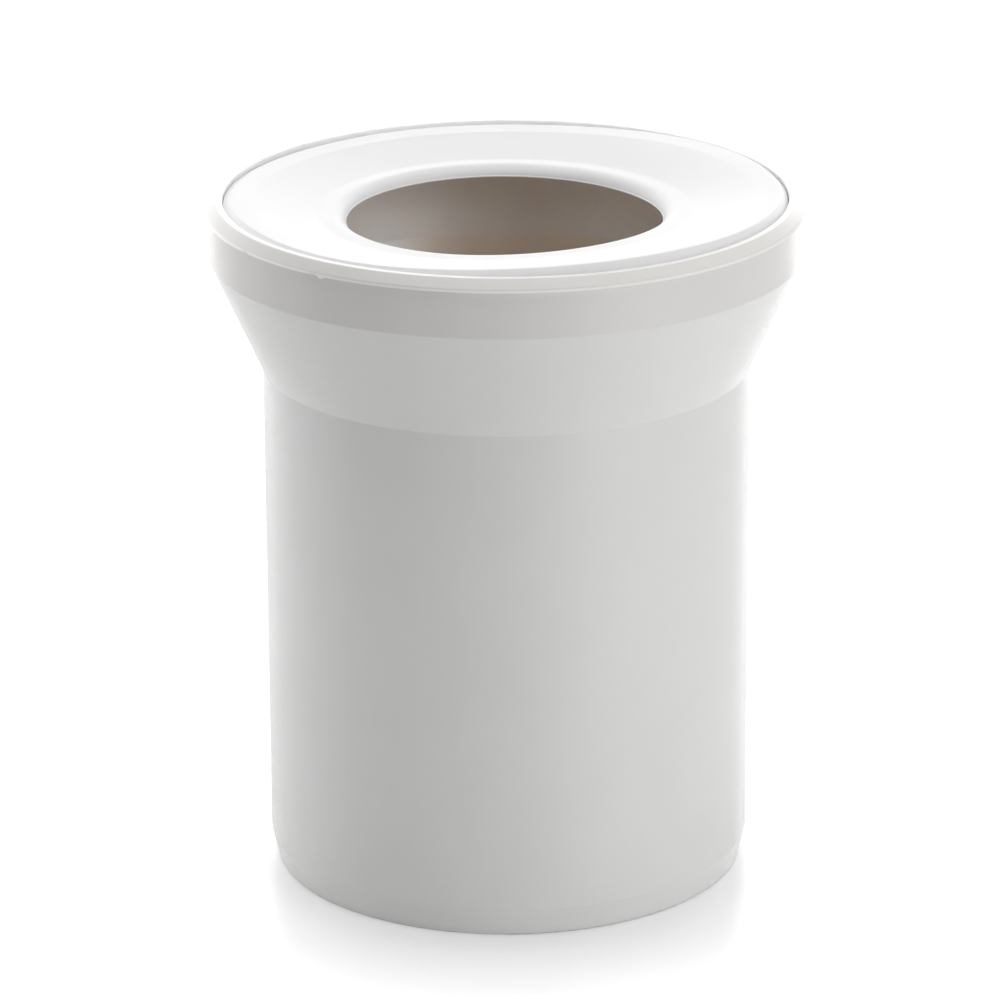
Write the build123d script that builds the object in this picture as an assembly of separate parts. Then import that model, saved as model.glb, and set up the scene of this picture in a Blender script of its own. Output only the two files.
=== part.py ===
from build123d import *
import math
import os

# Straight toilet pan connector. A plain spigot pipe opens through a cone into a short collar,
# a retaining ring snaps into the collar, and a soft diaphragm seal grips the ring's flange.
# It stands on its spigot end with its axis on Z. All sizes are in millimetres.

# Spigot pipe, cone and collar
spigot_radius = 55.0
spigot_length = 118.0
wall = 3.0
lead_in_height = 6.5
lead_in_depth = 1.5
end_rounding = 0.4
bore_chamfer = 0.5
cone_height = 25.65
collar_radius = 66.5
collar_height = 10.4
collar_edge_rounding = 0.6

# Retaining ring: what shows above the collar
ring_overhang = 0.5
ring_height = 2.65
ring_land_height = 0.7
ring_slope_width = 2.3
ring_edge_width = 1.4
ring_edge_rounding = 0.25
ring_shoulder_rounding = 0.6
flash_width = 0.18
flash_height = 0.2

# Retaining ring: flange under the seal and skirt inside the collar
flange_rise = 0.7
flange_thickness = 1.6
flange_width = 3.8
skirt_thickness = 2.1
skirt_depth = 6.4
skirt_lead_in = 0.5

# Snap bead on the ring's skirt, with its groove in the collar
snap_drop = 4.2
snap_height = 1.7
snap_crest_height = 0.5
snap_depth = 0.45

# Diaphragm seal: bead, rim and barb
bead_rise = 0.35
bead_bevel_width = 1.7
bead_bevel_height = 1.3
bead_rounding = 0.3
rim_width = 6.6
rim_fall = 0.4
rim_inset = 1.5
barb_land = 0.9
barb_taper = 2.1
barb_nose_setback = 0.4

# Diaphragm seal: dished face, valley, crest and the lip round the hole
membrane = 1.8
dish_angle = 12.4
valley_radius = 6.0
crest_land = 3.2
crest_land_angle = 2.0
crest_radius = 2.5
hole_radius = 35.5
lip_angle = 80.0
lip_wall = 0.2
lip_land = 0.6
lip_edge_rounding = 0.15

# Fits
skirt_clearance = 0.1
snap_clearance = 0.2
bead_gap = 0.2
neck_clearance = 0.1
barb_clearance = 0.1
barb_side_gap = 0.5

# Heights that follow from those above
cone_top = spigot_length + cone_height
collar_top = cone_top + collar_height
ring_top = collar_top + ring_height
flange_top = collar_top + flange_rise
flange_foot = flange_top - flange_thickness
snap_centre = collar_top - snap_drop

# Radii that follow from those above
bore_radius = spigot_radius - wall
collar_bore_radius = collar_radius - wall
ring_radius = collar_radius + ring_overhang
ring_crest_radius = ring_radius - ring_slope_width
bead_recess_radius = ring_crest_radius - ring_edge_width
flange_bore_radius = bead_recess_radius - flange_width
skirt_radius = collar_bore_radius - skirt_clearance
skirt_bore_radius = skirt_radius - skirt_thickness
snap_radius = skirt_radius + snap_depth


def turned(edges, roundings=()):
    """Revolve a closed outline of radius and height about Z, with the named corners rounded."""
    section = make_face(edges)
    for corner, radius in roundings:
        vertex = section.vertices().sort_by_distance((*corner, 0))[0]
        section = fillet(vertex, radius)
    return revolve(Plane.XZ * section, axis=Axis.Z)


def around(centre, radius, angle):
    """Point on a circle, at an angle in degrees from straight up and outwards."""
    turn = math.radians(angle)
    return (centre[0] + radius * math.sin(turn), centre[1] + radius * math.cos(turn))


def arc(centre, radius, start, end):
    """Arc about a centre between two angles measured as in around()."""
    middle = (start + end) / 2
    return ThreePointArc(*(around(centre, radius, angle) for angle in (start, middle, end)))


def make_body():
    """One moulding of even wall: spigot, cone and collar, with a snap groove inside the rim."""
    slant = math.atan2(collar_radius - spigot_radius, cone_height)
    inner_rise = wall * math.tan(slant / 2)
    groove_radius = snap_radius + snap_clearance
    groove_half = snap_height / 2 + snap_clearance
    groove_floor_half = snap_crest_height / 2 + snap_clearance
    spigot_end = (spigot_radius - lead_in_depth, 0)
    collar_edge = (collar_radius, cone_top)
    outline = Polyline(
        (bore_radius + bore_chamfer, 0),
        spigot_end,
        (spigot_radius, lead_in_height),
        (spigot_radius, spigot_length),
        collar_edge,
        (collar_radius, collar_top),
        (collar_bore_radius + skirt_lead_in, collar_top),
        (collar_bore_radius, collar_top - skirt_lead_in),
        (collar_bore_radius, snap_centre + groove_half),
        (groove_radius, snap_centre + groove_floor_half),
        (groove_radius, snap_centre - groove_floor_half),
        (collar_bore_radius, snap_centre - groove_half),
        (collar_bore_radius, cone_top + inner_rise),
        (bore_radius, spigot_length + inner_rise),
        (bore_radius, bore_chamfer),
        close=True,
    )
    roundings = [
        (spigot_end, end_rounding),
        (collar_edge, collar_edge_rounding),
    ]
    return turned(outline, roundings)


def make_ring():
    """Cap ring: sloping outer face, recess for the seal's bead, flange and snap skirt."""
    shoulder = (ring_radius, collar_top + ring_land_height)
    crest_outer = (ring_crest_radius, ring_top)
    crest_inner = (bead_recess_radius, ring_top)
    skirt_end = collar_top - skirt_depth
    outline = Polyline(
        (ring_radius + flash_width, collar_top),
        (ring_radius + flash_width, collar_top + flash_height),
        (ring_radius, collar_top + flash_height),
        shoulder,
        crest_outer,
        crest_inner,
        (bead_recess_radius, flange_top),
        (flange_bore_radius, flange_top),
        (flange_bore_radius, flange_foot),
        (skirt_bore_radius, flange_foot),
        (skirt_bore_radius, skirt_end),
        (skirt_radius - skirt_lead_in, skirt_end),
        (skirt_radius, skirt_end + skirt_lead_in),
        (skirt_radius, snap_centre - snap_height / 2),
        (snap_radius, snap_centre - snap_crest_height / 2),
        (snap_radius, snap_centre + snap_crest_height / 2),
        (skirt_radius, snap_centre + snap_height / 2),
        (skirt_radius, collar_top),
        close=True,
    )
    roundings = [
        (shoulder, ring_shoulder_rounding),
        (crest_outer, ring_edge_rounding),
        (crest_inner, ring_edge_rounding),
    ]
    return turned(outline, roundings)


def make_seal():
    """Soft seal: bead and barb grip the ring's flange, and the dished face rolls into the hole."""
    bead_radius = bead_recess_radius - bead_gap
    bead_top = ring_top + bead_rise
    neck_radius = flange_bore_radius - neck_clearance
    barb_top = flange_foot - barb_clearance
    barb_radius = skirt_bore_radius - barb_side_gap
    barb_foot = barb_top - barb_land - barb_taper
    dish_radius = bead_radius - rim_width
    dish_end = (dish_radius, bead_top - rim_fall)
    rim_radius = dish_radius - rim_inset
    rise = math.tan(math.radians(dish_angle))

    # Radii, worked out from the hole: sloping lip, rounded crest, crest land, valley, dish.
    lip_turn = math.radians(lip_angle)
    land_turn = math.radians(crest_land_angle)
    wall_across = hole_radius + lip_wall * math.cos(lip_turn)
    crest_across = wall_across + crest_radius * math.sin(lip_turn)
    land_across = crest_across + (crest_radius + valley_radius) * math.sin(land_turn)
    valley_across = land_across + crest_land * math.cos(land_turn)
    dish_across = valley_across + valley_radius * math.sin(math.radians(dish_angle))

    # Heights, worked out from the dish, with each arc touching its neighbours.
    dish_start = (dish_across, dish_end[1] - rise * (dish_radius - dish_across))
    valley = around(dish_start, valley_radius, -dish_angle)
    valley_start = 180 - dish_angle
    valley_end = 180 + crest_land_angle
    land_end = around(valley, valley_radius, valley_end)
    land_start = around(land_end, crest_land, crest_land_angle - 90)
    crest = around(land_start, crest_radius, valley_end)
    wall_top = around(crest, crest_radius, -lip_angle)
    lip_top = (hole_radius, wall_top[1] - lip_wall * math.sin(lip_turn))
    lip_edge = (hole_radius, lip_top[1] - lip_land)

    # The underside runs parallel to the face, one membrane below it.
    bend = (lip_angle + crest_land_angle) / 2
    under_start = around(valley, valley_radius + membrane, valley_start)
    under_reach = (crest_radius - membrane) / math.cos(math.radians(bend))
    under_corner = around(crest, under_reach, crest_land_angle - bend)
    lip_back = under_corner[0] - (under_corner[1] - lip_edge[1]) / math.tan(lip_turn)
    rim_root = (rim_radius, under_start[1] + rise * (rim_radius - under_start[0]))
    bead_corner = (bead_radius - bead_bevel_width, bead_top)
    rim = Polyline(
        dish_end,
        bead_corner,
        (bead_radius, bead_top - bead_bevel_height),
        (bead_radius, flange_top),
        (neck_radius, flange_top),
        (neck_radius, barb_top),
        (barb_radius, barb_top),
        (barb_radius, barb_top - barb_land),
        (neck_radius - barb_nose_setback, barb_foot),
        (rim_radius, barb_foot),
        rim_root,
    )
    edges = [
        rim,
        Line(rim_root, under_start),
        arc(valley, valley_radius + membrane, valley_start, valley_end),
        Polyline(
            around(valley, valley_radius + membrane, valley_end),
            under_corner,
            (lip_back, lip_edge[1]),
            lip_edge,
            lip_top,
            wall_top,
        ),
        arc(crest, crest_radius, -lip_angle, crest_land_angle),
        Line(land_start, land_end),
        arc(valley, valley_radius, valley_end, valley_start),
        Line(dish_start, dish_end),
    ]
    roundings = [
        (bead_corner, bead_rounding),
        (lip_edge, lip_edge_rounding),
    ]
    return turned(edges, roundings)


os.makedirs("parts", exist_ok=True)
nodes = {
    "connector_body": make_body(),
    "retaining_ring": make_ring(),
    "pan_seal": make_seal(),
}
for name, solid in nodes.items():
    export_step(solid, f"parts/{name}.step")
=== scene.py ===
"""Looks of a toilet pan connector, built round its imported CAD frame."""

import math

import bpy
from mathutils import Matrix, Vector


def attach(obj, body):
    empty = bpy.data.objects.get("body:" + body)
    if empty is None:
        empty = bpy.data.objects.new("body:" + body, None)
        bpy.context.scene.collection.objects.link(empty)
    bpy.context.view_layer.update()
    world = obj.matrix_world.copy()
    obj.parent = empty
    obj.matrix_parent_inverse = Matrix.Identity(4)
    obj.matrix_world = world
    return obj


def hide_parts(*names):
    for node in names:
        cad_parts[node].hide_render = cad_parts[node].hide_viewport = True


MM = 0.001

# Where the photograph's camera stood, fitted to the round edges that it shows
CAMERA_PLACE = (0.0, -1.14195, 0.48255)
CAMERA_DIP = 0.33539
CAMERA_HEADING = 0.0015
CAMERA_ROLL = -0.00518
CAMERA_LENS = 191.1
CAMERA_SENSOR = 36.0
CAMERA_CLIP = (0.05, 20.0)

# Soft lamps: name, place, the point that each faces, width, height, brightness of its face
LAMPS = [
    ("back_panel", (0.0, 1.0, 0.5), (0.0, 0.0, 0.12), 1.1, 0.9, 1.37),
    ("back_left", (-0.75, 0.8, 0.45), (0.0, 0.0, 0.12), 0.6, 0.9, 1.19),
    ("back_left_low", (-0.75, 0.8, 0.18), (0.0, 0.0, 0.15), 0.6, 0.34, 1.65),
    ("back_right", (0.62, 1.05, 0.4), (0.0, 0.0, 0.12), 0.35, 0.9, 1.5),
    ("top_softbox", (0.0, 0.1, 1.25), (0.0, 0.0, 0.15), 1.3, 1.1, 1.43),
    ("left_side", (-1.1, 0.2, 0.35), (0.0, 0.0, 0.1), 0.8, 0.9, 2.2),
    ("right_front", (0.85, -0.75, 0.35), (0.0, 0.0, 0.1), 0.8, 0.8, 2.97),
    ("right_high", (0.8, 0.2, 1.0), (0.0, 0.0, 0.15), 0.6, 0.6, 1.06),
    ("front_high", (0.0, -0.5, 1.3), (0.0, 0.0, 0.15), 1.2, 0.6, 0.85),
]

# The floor: half its side in metres, its colour and its roughness
FLOOR_SIDE = 4.0
FLOOR_COLOUR = (0.9, 0.9, 0.9, 1)
FLOOR_ROUGHNESS = (0.16, 0.27)
FLOOR_CLOUDS = 9.0
FLOOR_IOR = 1.5

# Glow of the floor as the camera sees it, low near the object's axis for a painted shade round its
# foot and higher between two distances from it, and the glow that is added far away. Distances
# on the floor are in metres.
FLOOR_LIFT = (0.165, 0.41)
FLOOR_RADII = (0.058, 0.09)
FAR_LIFT = 0.6
FAR_RADII = (0.7, 1.0)

# Painted reflections: the floor as the object mirrors it glows on the right, glows at the back,
# weaker on the left than on the right, and is darker on the far left. Each change runs between
# two places across the floor, or along it for BACK_SIDE.
RIGHT_LIFT = 0.33
RIGHT_SIDE = (0.0, 0.12)
BACK_LIFT = (0.32, 0.8)
BACK_TURN = (-0.1, 0.1)
BACK_SIDE = (0.3, 0.37)
LEFT_MIRRORED_SHADE = (0.57, 0.57, 0.57, 1)
LEFT_SIDE = (-0.295, -0.31)

# Sizes of the body in millimetres, as in its solid
SPIGOT_RADIUS = 55.0
COLLAR_RADIUS = 66.5
WALL = 3.0
CONE_FOOT = 118.0
CONE_TOP = 143.65
COLLAR_TOP = 154.05

# Sizes of the ring in millimetres and degrees, as in its solid apart from the flash
RING_STEPS = 720
RING_TOP = 156.7
RING_RADIUS = 67.0
RING_SLOPE = 40.3
SHOULDER_ROUNDING = 0.6
SHOULDER_RISE = 0.422
SHOULDER_START = 65
CREST_EDGE_RADIUS = 64.608
EDGE_ROUNDING = 0.25
RECESS_RADIUS = 63.3
FLANGE_TOP = 154.75
FLANGE_FOOT = 153.15
FLANGE_BORE = 59.5
SKIRT_RADIUS = 63.4
SKIRT_BORE = 61.3
SKIRT_END = 147.65
SKIRT_LEAD_IN = 0.5
SNAP_CENTRE = 149.85
SNAP_RADIUS = 63.85
SNAP_HALF = 0.85
SNAP_CREST_HALF = 0.25

# Moulding flash at the ring's foot: its outline past the ring's radius and above the collar, and
# waves of its width as waves in a turn, share and start
FLASH = [(0.06, 0.0), (0.24, 0.03), (0.29, 0.1), (0.27, 0.18), (0.12, 0.36), (0.0, 0.52)]
FLASH_WAVES = [(3, 0.22, 0.5), (11, 0.12, 1.3)]

# Flaws in the flash: place in degrees from the front, and how far from it each begins and ends
NOTCH = (-57.3, 0.3, 0.9)
GAP = (-37.9, 0.5, 1.1)
BURR = (-36.3, 0.2, 0.9)
BURR_PROUD = 0.1
BURR_DROP = 0.45

# Sizes of the seal's bead, rim and barb in millimetres and degrees, as in its solid
SEAL_STEPS = 360
BEAD_RADIUS = 63.1
BEAD_CORNER = (61.309, 156.742)
BEAD_ROUNDING = 0.3
BEAD_TURN = (-4.7, 37.4)
BEVEL_WIDTH = 1.7
BEVEL_START = (61.8, 156.744)
BEVEL_FOOT = 155.75
BEAD_FOOT_RISE = 0.3
RIM_EDGE = (61.285, 157.041)
RIM_RADIUS = 55.0
NECK_RADIUS = 59.4
BARB_TOP = 153.05
BARB_RADIUS = 60.8
BARB_LAND_FOOT = 152.15
BARB_NOSE = 59.0
BARB_FOOT = 150.05

# Sizes of the seal's dish, valley, crest and lip, a little softer than in its solid
DISH_RADIUS = 56.5
DISH_TOP = 156.65
DISH_ANGLE = 12.0
DISH_BEND = 0.4
DISH_BEND_RISES = (0.01, 0.033)
MEMBRANE = 1.8
VALLEY_RADIUS = 6.0
CREST_LAND = 2.48
LAND_ANGLE = 2.0
CREST_RADIUS = 3.4
HOLE_RADIUS = 35.45
LIP_ANGLE = 66.0
LIP_WALL = 0.64
LIP_BEAD = 0.22
LIP_BEAD_PROUD = 0.1

# How the soft seal's rim and lip wave: waves in a turn, height, and where the first is highest.
# The lip also lies a little to the left and a little low.
RIM_WAVES = [
    (1, 0.895, 45.3), (2, 0.14, 53.8), (3, 0.248, 22.8), (4, 0.165, 20.8), (5, 0.07, -9.1),
]
LIP_WAVES = [(1, 0.448, 21.2), (2, 0.358, 33.9), (3, 0.101, 39.8)]
LIP_SHIFT = -0.24
LIP_DROP = 0.15

# Where the seal is held level: a band inside its rim, a band inside its bevel, and a height
HELD_BAND = 1.5
HELD_BEVEL_BAND = 1.0
HELD_BEVEL_RISE = 0.5

# Surface detail that every moulded piece has
MOTTLE_SCALE = 38.0
SPECK_SCALE = 900.0
LINE_SCALE = 1400.0
BUMP_DEPTH = 0.0001
PLASTIC_IOR = 1.49

# Tints of painted light and shade: a darker tint on the collar for painted shade, a lighter tint
# on the ring's crest, recess and flash for painted highlights and light, and a darker tint on the
# bevel on the right for painted shade. The bands that they fill are in millimetres.
COLLAR_SHADE_TINT = (0.955, 0.945, 0.937, 1)
COLLAR_BLEND = 0.2
CREST_LIGHT_TINT = (1.24, 1.24, 1.25, 1)
CREST_BAND = (0.15, 0.05)
RECESS_SKIN = 0.06
FLASH_BAND = (0.6, 0.4)
FLASH_SHARE = 0.6
BEVEL_SHADE_TINT = (0.91, 0.91, 0.91, 1)
BEVEL_BLEND = 0.3
BEVEL_SIDE = (-10, 20)
RECESS_DEPTH = 0.1

# Painted light inside the cone: tints of the light that shows through the wall from the left to
# the right, tints of that light below a line on its wall, and the places in millimetres where
# they change. Deep down the wall is plain.
INSIDE_LEFT = (1.0, 1.012, 1.045, 1)
INSIDE_MIDDLE = (0.95, 0.958, 0.98, 1)
INSIDE_RIGHT = (1.055, 1.053, 1.075, 1)
LEFT_TURN = (-30, -8)
RIGHT_TURN = (6, 30)
EDGE_HEIGHT = 131.0
EDGE_BLEND = 0.2
BELOW_EDGE = (1.0, 0.965, 0.91, 1)
BELOW_EDGE_LEFT = (1.16, 1.165, 1.17, 1)
BELOW_TURN = (-28, -16)
DEEP = (121.0, 106.0)


def smooth_step(low, high, value):
    """0 below low, 1 above high, with a smooth change between."""
    share = min(1.0, max(0.0, (value - low) / (high - low)))
    return share * share * (3 - 2 * share)


def around(centre, radius, angle):
    """Point on a circle, at an angle in degrees from straight up and outwards."""
    turn = math.radians(angle)
    return (centre[0] + radius * math.sin(turn), centre[1] + radius * math.cos(turn))


def arc(centre, radius, start, end, count):
    """Points along an arc, with angles as in around()."""
    angles = [start + (end - start) * step / count for step in range(count + 1)]
    return [around(centre, radius, angle) for angle in angles]


def run(start, end, count):
    """Points along a straight run, both ends included."""
    shares = [step / count for step in range(count + 1)]
    return [tuple(a + (b - a) * share for a, b in zip(start, end)) for share in shares]


def lathe(name, outline, turns, shape):
    """Closed mesh turned about Z from an outline in millimetres; shape() moves each point."""
    count = len(outline)
    points = []
    faces = []
    for turn in range(turns):
        angle = 2 * math.pi * turn / turns
        for across, height in outline:
            radius, level = shape(angle, across, height)
            x = radius * math.sin(angle) * MM
            y = -radius * math.cos(angle) * MM
            points.append((x, y, level * MM))
    for turn in range(turns):
        here = turn * count
        there = (turn + 1) % turns * count
        for step in range(count):
            following = (step + 1) % count
            faces.append((here + step, here + following, there + following, there + step))
    mesh = bpy.data.meshes.new(name)
    mesh.from_pydata(points, [], faces)
    mesh.validate()
    mesh.shade_smooth()
    mesh.set_sharp_from_angle(angle=math.radians(30))
    piece = bpy.data.objects.new(name, mesh)
    bpy.context.scene.collection.objects.link(piece)
    return piece


def off_by(turn, flaw):
    """0 at a flaw's place and 1 away from it."""
    place, begins, ends = flaw
    return smooth_step(begins, ends, abs(turn - place))


def ring_shape(angle, radius, height):
    """Uneven flash on the ring's foot, with a notch, a gap and a small burr on the left."""
    turn = math.degrees(angle)
    turn = turn - 360 if turn > 180 else turn
    proud = radius - RING_RADIUS
    if proud <= 0:
        return radius, height
    width = 1.0
    for count, share, start in FLASH_WAVES:
        width += share * math.sin(count * angle + start)
    burr = 1 - off_by(turn, BURR)
    proud = proud * width * off_by(turn, NOTCH) * off_by(turn, GAP) + BURR_PROUD * burr
    return RING_RADIUS + proud, height - BURR_DROP * burr


def make_ring():
    """The retaining ring, with its solid's section and uneven flash round its foot."""
    shoulder = (RING_RADIUS - SHOULDER_ROUNDING, COLLAR_TOP + SHOULDER_RISE)
    crest_height = RING_TOP - EDGE_ROUNDING
    recess_edge = (RECESS_RADIUS + EDGE_ROUNDING, crest_height)
    outline = [
        *((RING_RADIUS + out, COLLAR_TOP + up) for out, up in FLASH),
        *arc(shoulder, SHOULDER_ROUNDING, SHOULDER_START, RING_SLOPE, 4),
        *arc((CREST_EDGE_RADIUS, crest_height), EDGE_ROUNDING, RING_SLOPE, 0, 3),
        *arc(recess_edge, EDGE_ROUNDING, 0, -90, 5),
        (RECESS_RADIUS, FLANGE_TOP),
        (FLANGE_BORE, FLANGE_TOP),
        (FLANGE_BORE, FLANGE_FOOT),
        (SKIRT_BORE, FLANGE_FOOT),
        (SKIRT_BORE, SKIRT_END),
        (SKIRT_RADIUS - SKIRT_LEAD_IN, SKIRT_END),
        (SKIRT_RADIUS, SKIRT_END + SKIRT_LEAD_IN),
        (SKIRT_RADIUS, SNAP_CENTRE - SNAP_HALF),
        (SNAP_RADIUS, SNAP_CENTRE - SNAP_CREST_HALF),
        (SNAP_RADIUS, SNAP_CENTRE + SNAP_CREST_HALF),
        (SKIRT_RADIUS, SNAP_CENTRE + SNAP_HALF),
        (SKIRT_RADIUS, COLLAR_TOP),
    ]
    return lathe("ring", outline, RING_STEPS, ring_shape)


def waves(parts, angle):
    """Height of a few waves round the axis, in millimetres."""
    turns = [(count * (angle - math.radians(peak)), height) for count, height, peak in parts]
    return sum(height * math.cos(turn) for turn, height in turns)


def seal_shape(angle, radius, height):
    """The soft rim sits high at the front right and low at the left; its neck is held level."""
    share = smooth_step(HOLE_RADIUS, DISH_RADIUS, radius)
    radius += LIP_SHIFT * math.sin(angle) * (1 - share)
    lip = waves(LIP_WAVES, angle) - LIP_DROP
    lift = waves(RIM_WAVES, angle) * share + lip * (1 - share)
    held = smooth_step(RIM_RADIUS - HELD_BAND, RIM_RADIUS, radius)
    bevel_radius = BEAD_RADIUS - BEVEL_WIDTH
    bevel = smooth_step(bevel_radius - HELD_BEVEL_BAND, bevel_radius, radius)
    above = smooth_step(FLANGE_TOP + HELD_BEVEL_RISE * bevel, BEVEL_FOOT + bevel, height)
    free = 1 - held * (1 - above)
    return radius, height + lift * free


def make_seal():
    """The soft diaphragm seal: bead and barb, dished face, valley, crest and the lip's bead."""
    lip_turn = math.radians(LIP_ANGLE)
    land_turn = math.radians(LAND_ANGLE)
    rise = math.tan(math.radians(DISH_ANGLE))

    # Radii from the hole outwards
    wall_across = HOLE_RADIUS + LIP_WALL * math.cos(lip_turn)
    crest_across = wall_across + CREST_RADIUS * math.sin(lip_turn)
    land_across = crest_across + (CREST_RADIUS + VALLEY_RADIUS) * math.sin(land_turn)
    valley_across = land_across + CREST_LAND * math.cos(land_turn)
    dish_across = valley_across + VALLEY_RADIUS * math.sin(math.radians(DISH_ANGLE))

    # Heights from the dish inwards, with each arc touching its neighbours
    valley_start = 180 - DISH_ANGLE
    valley_end = 180 + LAND_ANGLE
    dish_start = (dish_across, DISH_TOP - rise * (DISH_RADIUS - dish_across))
    valley = around(dish_start, VALLEY_RADIUS, -DISH_ANGLE)
    land_end = around(valley, VALLEY_RADIUS, valley_end)
    land_start = around(land_end, CREST_LAND, LAND_ANGLE - 90)
    crest = around(land_start, CREST_RADIUS, valley_end)
    wall_top = around(crest, CREST_RADIUS, -LIP_ANGLE)

    # The bead on the hole's edge, which stands a little proud of the lip's wall
    depth = LIP_BEAD - LIP_BEAD_PROUD
    bead_across = HOLE_RADIUS + LIP_BEAD
    wall_run = (wall_top[0] + depth * math.sin(lip_turn) - bead_across) / math.cos(lip_turn)
    wall_drop = wall_run * math.sin(lip_turn)
    bead = (bead_across, wall_top[1] - wall_drop - depth * math.cos(lip_turn))
    bead_start = math.degrees(math.acos(depth / LIP_BEAD)) - LIP_ANGLE
    lip_foot = bead[1] - LIP_BEAD

    # The underside, one membrane below the face
    under_radius = CREST_RADIUS - MEMBRANE
    under_end = -math.degrees(math.acos((lip_foot - crest[1]) / under_radius))
    under_valley = VALLEY_RADIUS + MEMBRANE
    under_start = around(valley, under_valley, valley_start)
    root = (RIM_RADIUS, under_start[1] + rise * (RIM_RADIUS - under_start[0]))

    dish_end = (DISH_RADIUS - DISH_BEND, DISH_TOP - DISH_BEND * rise)
    rim_start = (DISH_RADIUS + DISH_BEND, DISH_TOP + DISH_BEND_RISES[1])
    barb_end = (RIM_RADIUS, BARB_FOOT)
    outline = [
        *run(dish_start, dish_end, 12)[1:],
        (DISH_RADIUS, DISH_TOP + DISH_BEND_RISES[0]),
        *run(rim_start, RIM_EDGE, 4)[:-1],
        *arc(BEAD_CORNER, BEAD_ROUNDING, *BEAD_TURN, 4),
        *run(BEVEL_START, (BEAD_RADIUS, BEVEL_FOOT), 3),
        (BEAD_RADIUS, FLANGE_TOP + BEAD_FOOT_RISE),
        (BEAD_RADIUS, FLANGE_TOP),
        (NECK_RADIUS, FLANGE_TOP),
        (NECK_RADIUS, BARB_TOP),
        (BARB_RADIUS, BARB_TOP),
        (BARB_RADIUS, BARB_LAND_FOOT),
        (BARB_NOSE, BARB_FOOT),
        *run(barb_end, root, 4),
        *run(root, under_start, 6)[1:],
        *arc(valley, under_valley, valley_start, valley_end, 4)[1:],
        *arc(crest, under_radius, LAND_ANGLE, under_end, 6),
        *arc(bead, LIP_BEAD, -180, bead_start, 8),
        *arc(crest, CREST_RADIUS, -LIP_ANGLE, LAND_ANGLE, 12),
        *run(land_start, land_end, 5)[1:],
        *arc(valley, VALLEY_RADIUS, valley_end, valley_start, 6)[1:],
    ]
    return lathe("seal", outline, SEAL_STEPS, seal_shape)


class Nodes:
    """Short calls to make and join shader nodes in one tree."""

    def __init__(self, tree):
        self.tree = tree
        tree.nodes.clear()

    def add(self, kind, settings=(), **inputs):
        """A node of that kind, with settings by name and inputs by socket name or number."""
        node = self.tree.nodes.new("ShaderNode" + kind)
        for name, value in dict(settings).items():
            setattr(node, name, value)
        for name, value in inputs.items():
            numbered = name[0] == "i" and name[1:].isdigit()
            key = int(name[1:]) if numbered else name.replace("_", " ")
            if isinstance(value, bpy.types.NodeSocket):
                self.tree.links.new(value, node.inputs[key])
            else:
                node.inputs[key].default_value = value
        return node

    def math(self, operation, first, second):
        """The result of one operation on two values."""
        return self.add("Math", {"operation": operation}, i0=first, i1=second).outputs[0]

    def ramp(self, value, places, levels=(0.0, 1.0)):
        """A value that goes from one level to another between two places."""
        node = self.add(
            "MapRange", Value=value, From_Min=places[0], From_Max=places[1],
            To_Min=levels[0], To_Max=levels[1],
        )
        return node.outputs[0]

    def mix(self, share, first, second, blend="MIX"):
        """Two colours blended by a share of the second."""
        settings = {"data_type": "RGBA", "blend_type": blend}
        return self.add("Mix", settings, i0=share, i6=first, i7=second).outputs[2]


def new_material(name):
    """An empty material with its shader nodes."""
    material = bpy.data.materials.new(name)
    material.use_nodes = True
    return material, Nodes(material.node_tree)


def metres(places, base=0.0):
    """Two places in millimetres from a base, in metres."""
    return tuple((base + place) * MM for place in places)


def collar_shade_zone(nodes, place, height, radius):
    """Painted shade: 1 on the collar, 0 on the cone and the pipe."""
    return nodes.ramp(height, metres((-COLLAR_BLEND, COLLAR_BLEND), CONE_TOP))


def crest_light_zone(nodes, place, height, radius):
    """Painted highlights and light: 1 on the ring's crest and its recess's wall, less on the flash
    at its foot, 0 on its face.
    """
    crest = nodes.ramp(height, metres((-CREST_BAND[0], -CREST_BAND[1]), RING_TOP))
    recess = nodes.math("LESS_THAN", radius, (RECESS_RADIUS + RECESS_SKIN) * MM)
    foot = nodes.ramp(height, metres(FLASH_BAND, COLLAR_TOP), (0.0, FLASH_SHARE))
    return nodes.math("MAXIMUM", nodes.math("MAXIMUM", crest, recess), foot)


def bevel_shade_zone(nodes, place, height, radius):
    """Painted shade: 1 on the right of the bead's bevel, where the rim is stretched upwards, 0
    elsewhere.
    """
    bevel = nodes.ramp(radius, metres((0.0, BEVEL_BLEND), BEAD_RADIUS - BEVEL_WIDTH))
    across = nodes.add("SeparateXYZ", Vector=place).outputs["X"]
    return nodes.math("MULTIPLY", bevel, nodes.ramp(across, metres(BEVEL_SIDE)))


def inside_painted_light(nodes, place, height, colour):
    """Painted light on the inside: the plastic's colour, tinted where light comes through the wall
    unevenly.
    """
    across = nodes.add("SeparateXYZ", Vector=place).outputs["X"]
    painted_tint = nodes.mix(nodes.ramp(across, metres(LEFT_TURN)), INSIDE_LEFT, INSIDE_MIDDLE)
    painted_tint = nodes.mix(nodes.ramp(across, metres(RIGHT_TURN)), painted_tint, INSIDE_RIGHT)
    tinted = nodes.mix(1.0, colour, painted_tint, "MULTIPLY")
    low_tint = nodes.mix(nodes.ramp(across, metres(BELOW_TURN)), BELOW_EDGE_LEFT, BELOW_EDGE)
    below = nodes.ramp(height, metres((EDGE_BLEND, -EDGE_BLEND), EDGE_HEIGHT))
    tinted = nodes.mix(below, tinted, low_tint, "MULTIPLY")
    return nodes.mix(nodes.ramp(height, metres(DEEP)), tinted, colour)


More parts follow.
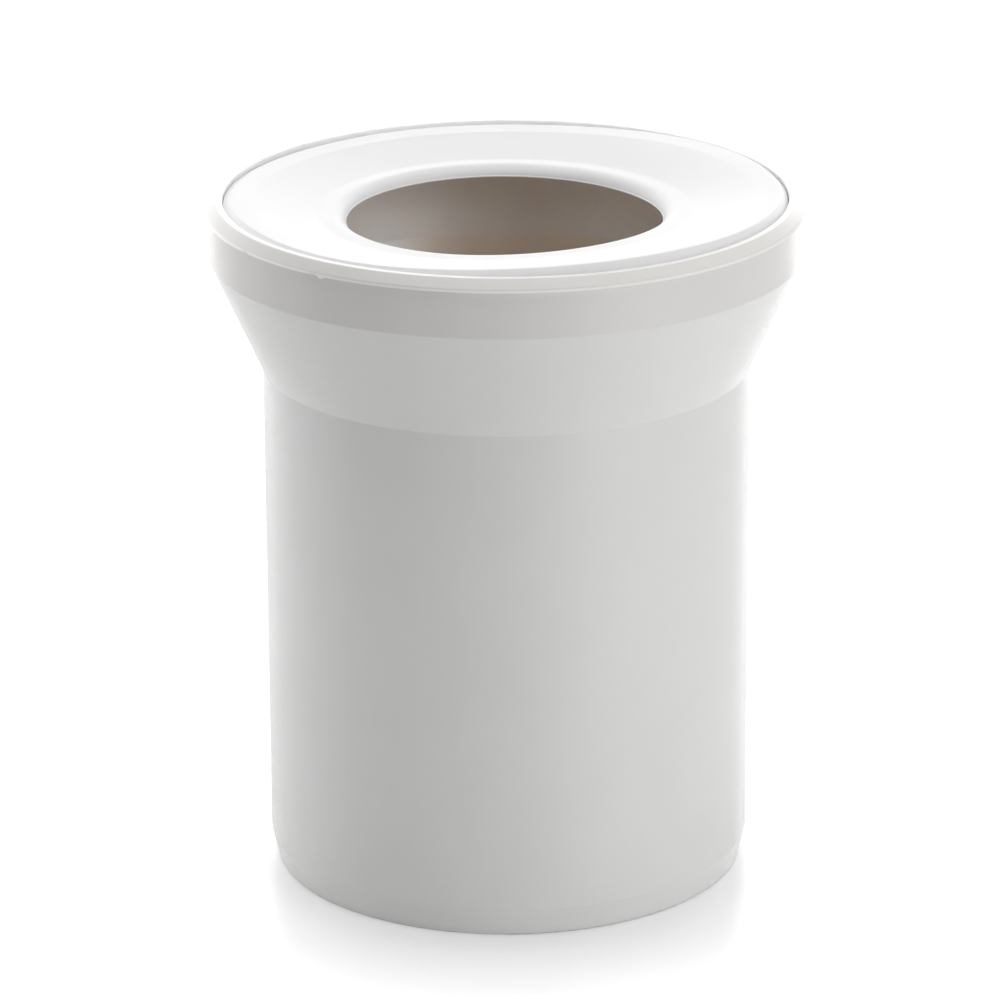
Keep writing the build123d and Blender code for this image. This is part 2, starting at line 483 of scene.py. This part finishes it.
def moulded(name, colours, roughness, lines, grain, soak, painted_zone, painted_tint, wall=None, inside=None):
    """Moulded plastic or rubber: faint mottling, fine turned lines, grain, and light that soaks in.

    The painted zone is where a tint of painted light or shade lies. A wall is given by two heights
    and the radius of its middle at each. Light soaks in on its inside only, where inside() gives
    the colour, and its outside stays crisp.
    """
    material, nodes = new_material(name)
    place = nodes.add("TexCoord").outputs["Object"]
    height = nodes.add("SeparateXYZ", Vector=place).outputs["Z"]
    flat = nodes.add("VectorMath", {"operation": "MULTIPLY"}, i0=place, i1=(1, 1, 0))
    reach = nodes.add("VectorMath", {"operation": "LENGTH"}, i0=flat.outputs["Vector"])
    radius = reach.outputs["Value"]

    mottle = nodes.add("TexNoise", Vector=place, Scale=MOTTLE_SCALE, Detail=4.0, Roughness=0.6)
    colour = nodes.mix(nodes.ramp(mottle.outputs["Fac"], (0.3, 0.7)), *colours)
    colour = nodes.mix(painted_zone(nodes, place, height, radius), colour, painted_tint, "MULTIPLY")

    speck = nodes.add("TexNoise", Vector=place, Scale=SPECK_SCALE, Detail=2.0).outputs["Fac"]
    rough = nodes.ramp(speck, (0.25, 0.75), roughness)
    line_place = nodes.math("MULTIPLY", height, LINE_SCALE)
    line = nodes.add("TexNoise", {"noise_dimensions": "1D"}, W=line_place, Detail=3.0)
    line_bump = nodes.add("Bump", Height=line.outputs["Fac"], Strength=lines, Distance=BUMP_DEPTH)
    bump = nodes.add(
        "Bump", Height=speck, Strength=grain, Distance=BUMP_DEPTH, Normal=line_bump.outputs[0]
    )

    surface = dict(Roughness=rough, IOR=PLASTIC_IOR, Normal=bump.outputs[0])
    inner_colour = inside(nodes, place, height, colour) if inside else colour
    shader = nodes.add(
        "BsdfPrincipled", Base_Color=inner_colour, Subsurface_Weight=1.0 if any(soak) else 0.0,
        Subsurface_Radius=soak, Subsurface_Scale=MM, **surface,
    )
    if wall:
        outside = nodes.add("BsdfPrincipled", Base_Color=colour, **surface)
        middle = nodes.ramp(height, metres(wall[:2]), metres(wall[2:]))
        outer = nodes.math("GREATER_THAN", radius, middle)
        shader = nodes.add("MixShader", i0=outer, i1=shader.outputs[0], i2=outside.outputs[0])
    nodes.add("OutputMaterial", Surface=shader.outputs[0])
    return material


def make_floor():
    """A pale, slightly glossy floor that looks white to the camera and keeps the object's shade,
    with a painted shade round the object's foot and painted reflections where the object mirrors
    it.
    """
    mesh = bpy.data.meshes.new("floor")
    low, high = -FLOOR_SIDE, FLOOR_SIDE
    corners = [(low, low, 0), (high, low, 0), (high, high, 0), (low, high, 0)]
    mesh.from_pydata(corners, [], [(0, 1, 2, 3)])
    floor = bpy.data.objects.new("floor", mesh)
    bpy.context.scene.collection.objects.link(floor)
    material, nodes = new_material("floor")
    place = nodes.add("TexCoord").outputs["Object"]
    spot = nodes.add("SeparateXYZ", Vector=place).outputs
    reach = nodes.add("VectorMath", {"operation": "LENGTH"}, i0=place).outputs["Value"]
    path = nodes.add("LightPath").outputs

    cloud = nodes.add("TexNoise", Vector=place, Scale=FLOOR_CLOUDS, Detail=3.0).outputs["Fac"]
    rough = nodes.ramp(cloud, (0.0, 1.0), FLOOR_ROUGHNESS)
    # painted reflection: the far left of the floor is darker only where the object mirrors it
    shaded = nodes.math("MULTIPLY", path["Is Glossy Ray"], nodes.ramp(spot["X"], LEFT_SIDE))
    colour = nodes.mix(shaded, FLOOR_COLOUR, LEFT_MIRRORED_SHADE)
    surface = nodes.add("BsdfPrincipled", Base_Color=colour, Roughness=rough, IOR=FLOOR_IOR)

    # painted shade: less glow near the object's foot darkens the floor round it
    near = nodes.ramp(reach, FLOOR_RADII, FLOOR_LIFT)
    far = nodes.ramp(reach, FAR_RADII, (0.0, FAR_LIFT))
    seen = nodes.math("MULTIPLY", path["Is Camera Ray"], nodes.math("ADD", near, far))
    # painted reflections: glows on the right and at the back that only the object's mirroring sees
    right = nodes.ramp(spot["X"], RIGHT_SIDE, (0.0, RIGHT_LIFT))
    back_level = nodes.ramp(spot["X"], BACK_TURN, BACK_LIFT)
    back = nodes.math("MULTIPLY", nodes.ramp(spot["Y"], BACK_SIDE), back_level)
    clear = nodes.math("SUBTRACT", path["Is Glossy Ray"], shaded)
    mirrored = nodes.math("MULTIPLY", clear, nodes.math("MAXIMUM", right, back))
    lift = nodes.math("ADD", seen, mirrored)
    glow = nodes.add("Emission", Color=(1, 1, 1, 1), Strength=lift)
    both = nodes.add("AddShader", i0=surface.outputs[0], i1=glow.outputs[0])
    nodes.add("OutputMaterial", Surface=both.outputs[0])
    mesh.materials.append(material)


def make_lights():
    """Large soft lamps round the object, and a world that is white where it is seen."""
    for name, place, target, width, height, level in LAMPS:
        data = bpy.data.lights.new(name, "AREA")
        data.shape = "RECTANGLE"
        data.size = width
        data.size_y = height
        data.energy = level * math.pi * width * height
        lamp = bpy.data.objects.new(name, data)
        bpy.context.scene.collection.objects.link(lamp)
        lamp.location = place
        aim = Vector(target) - Vector(place)
        lamp.rotation_euler = aim.to_track_quat("-Z", "Y").to_euler()
        lamp.visible_camera = False
    world = bpy.data.worlds.new("studio")
    bpy.context.scene.world = world
    world.use_nodes = True
    nodes = Nodes(world.node_tree)
    path = nodes.add("LightPath").outputs
    shiny = nodes.math("MAXIMUM", path["Is Glossy Ray"], path["Is Transmission Ray"])
    seen = nodes.math("MAXIMUM", path["Is Camera Ray"], shiny)
    sky = nodes.add("Background", Color=(1, 1, 1, 1), Strength=seen)
    nodes.add("OutputWorld", Surface=sky.outputs[0])


def make_camera():
    """The camera at the photograph's angle, for a square picture."""
    data = bpy.data.cameras.new("camera")
    data.sensor_fit = "HORIZONTAL"
    data.sensor_width = CAMERA_SENSOR
    data.lens = CAMERA_LENS
    data.clip_start, data.clip_end = CAMERA_CLIP
    camera = bpy.data.objects.new("camera", data)
    bpy.context.scene.collection.objects.link(camera)
    camera.matrix_world = (
        Matrix.Translation(CAMERA_PLACE)
        @ Matrix.Rotation(CAMERA_HEADING, 4, "Z")
        @ Matrix.Rotation(math.pi / 2 - CAMERA_DIP, 4, "X")
        @ Matrix.Rotation(CAMERA_ROLL, 4, "Z")
    )
    bpy.context.scene.camera = camera


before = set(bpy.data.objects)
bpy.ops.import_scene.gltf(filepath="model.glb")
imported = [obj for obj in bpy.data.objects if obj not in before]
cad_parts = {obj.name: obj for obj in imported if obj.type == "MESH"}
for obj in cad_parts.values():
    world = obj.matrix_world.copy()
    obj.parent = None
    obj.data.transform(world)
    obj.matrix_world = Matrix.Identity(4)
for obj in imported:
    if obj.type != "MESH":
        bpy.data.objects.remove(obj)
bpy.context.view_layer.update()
bpy.context.scene.view_settings.view_transform = "Standard"
make_camera()
make_lights()
make_floor()

white = moulded(
    "white_plastic",
    colours=[(0.79, 0.785, 0.78, 1), (0.81, 0.805, 0.80, 1)],
    roughness=(0.21, 0.268),
    lines=0.12,
    grain=0.08,
    soak=(4.2, 3.36, 2.52),
    painted_zone=collar_shade_zone,
    painted_tint=COLLAR_SHADE_TINT,
    wall=(CONE_FOOT, CONE_TOP, SPIGOT_RADIUS - WALL / 2, COLLAR_RADIUS - WALL / 2),
    inside=inside_painted_light,
)
warm = moulded(
    "warm_plastic",
    colours=[(0.775, 0.765, 0.742, 1), (0.795, 0.785, 0.762, 1)],
    roughness=(0.32, 0.42),
    lines=0.05,
    grain=0.06,
    soak=(2.4, 2.4, 2.4),
    painted_zone=crest_light_zone,
    painted_tint=CREST_LIGHT_TINT,
    wall=(FLANGE_FOOT, RING_TOP, RECESS_RADIUS + RECESS_DEPTH, RECESS_RADIUS + RECESS_DEPTH),
)
rubber = moulded(
    "white_rubber",
    colours=[(0.9, 0.9, 0.9, 1), (0.92, 0.92, 0.92, 1)],
    roughness=(0.4, 0.5),
    lines=0.04,
    grain=0.08,
    soak=(0, 0, 0),
    painted_zone=bevel_shade_zone,
    painted_tint=BEVEL_SHADE_TINT,
)

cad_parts["connector_body"].data.materials.clear()
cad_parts["connector_body"].data.materials.append(white)
for piece, node, material in (
    (make_ring(), "retaining_ring", warm),
    (make_seal(), "pan_seal", rubber),
):
    piece.data.materials.append(material)
    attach(piece, "root")
    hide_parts(node)
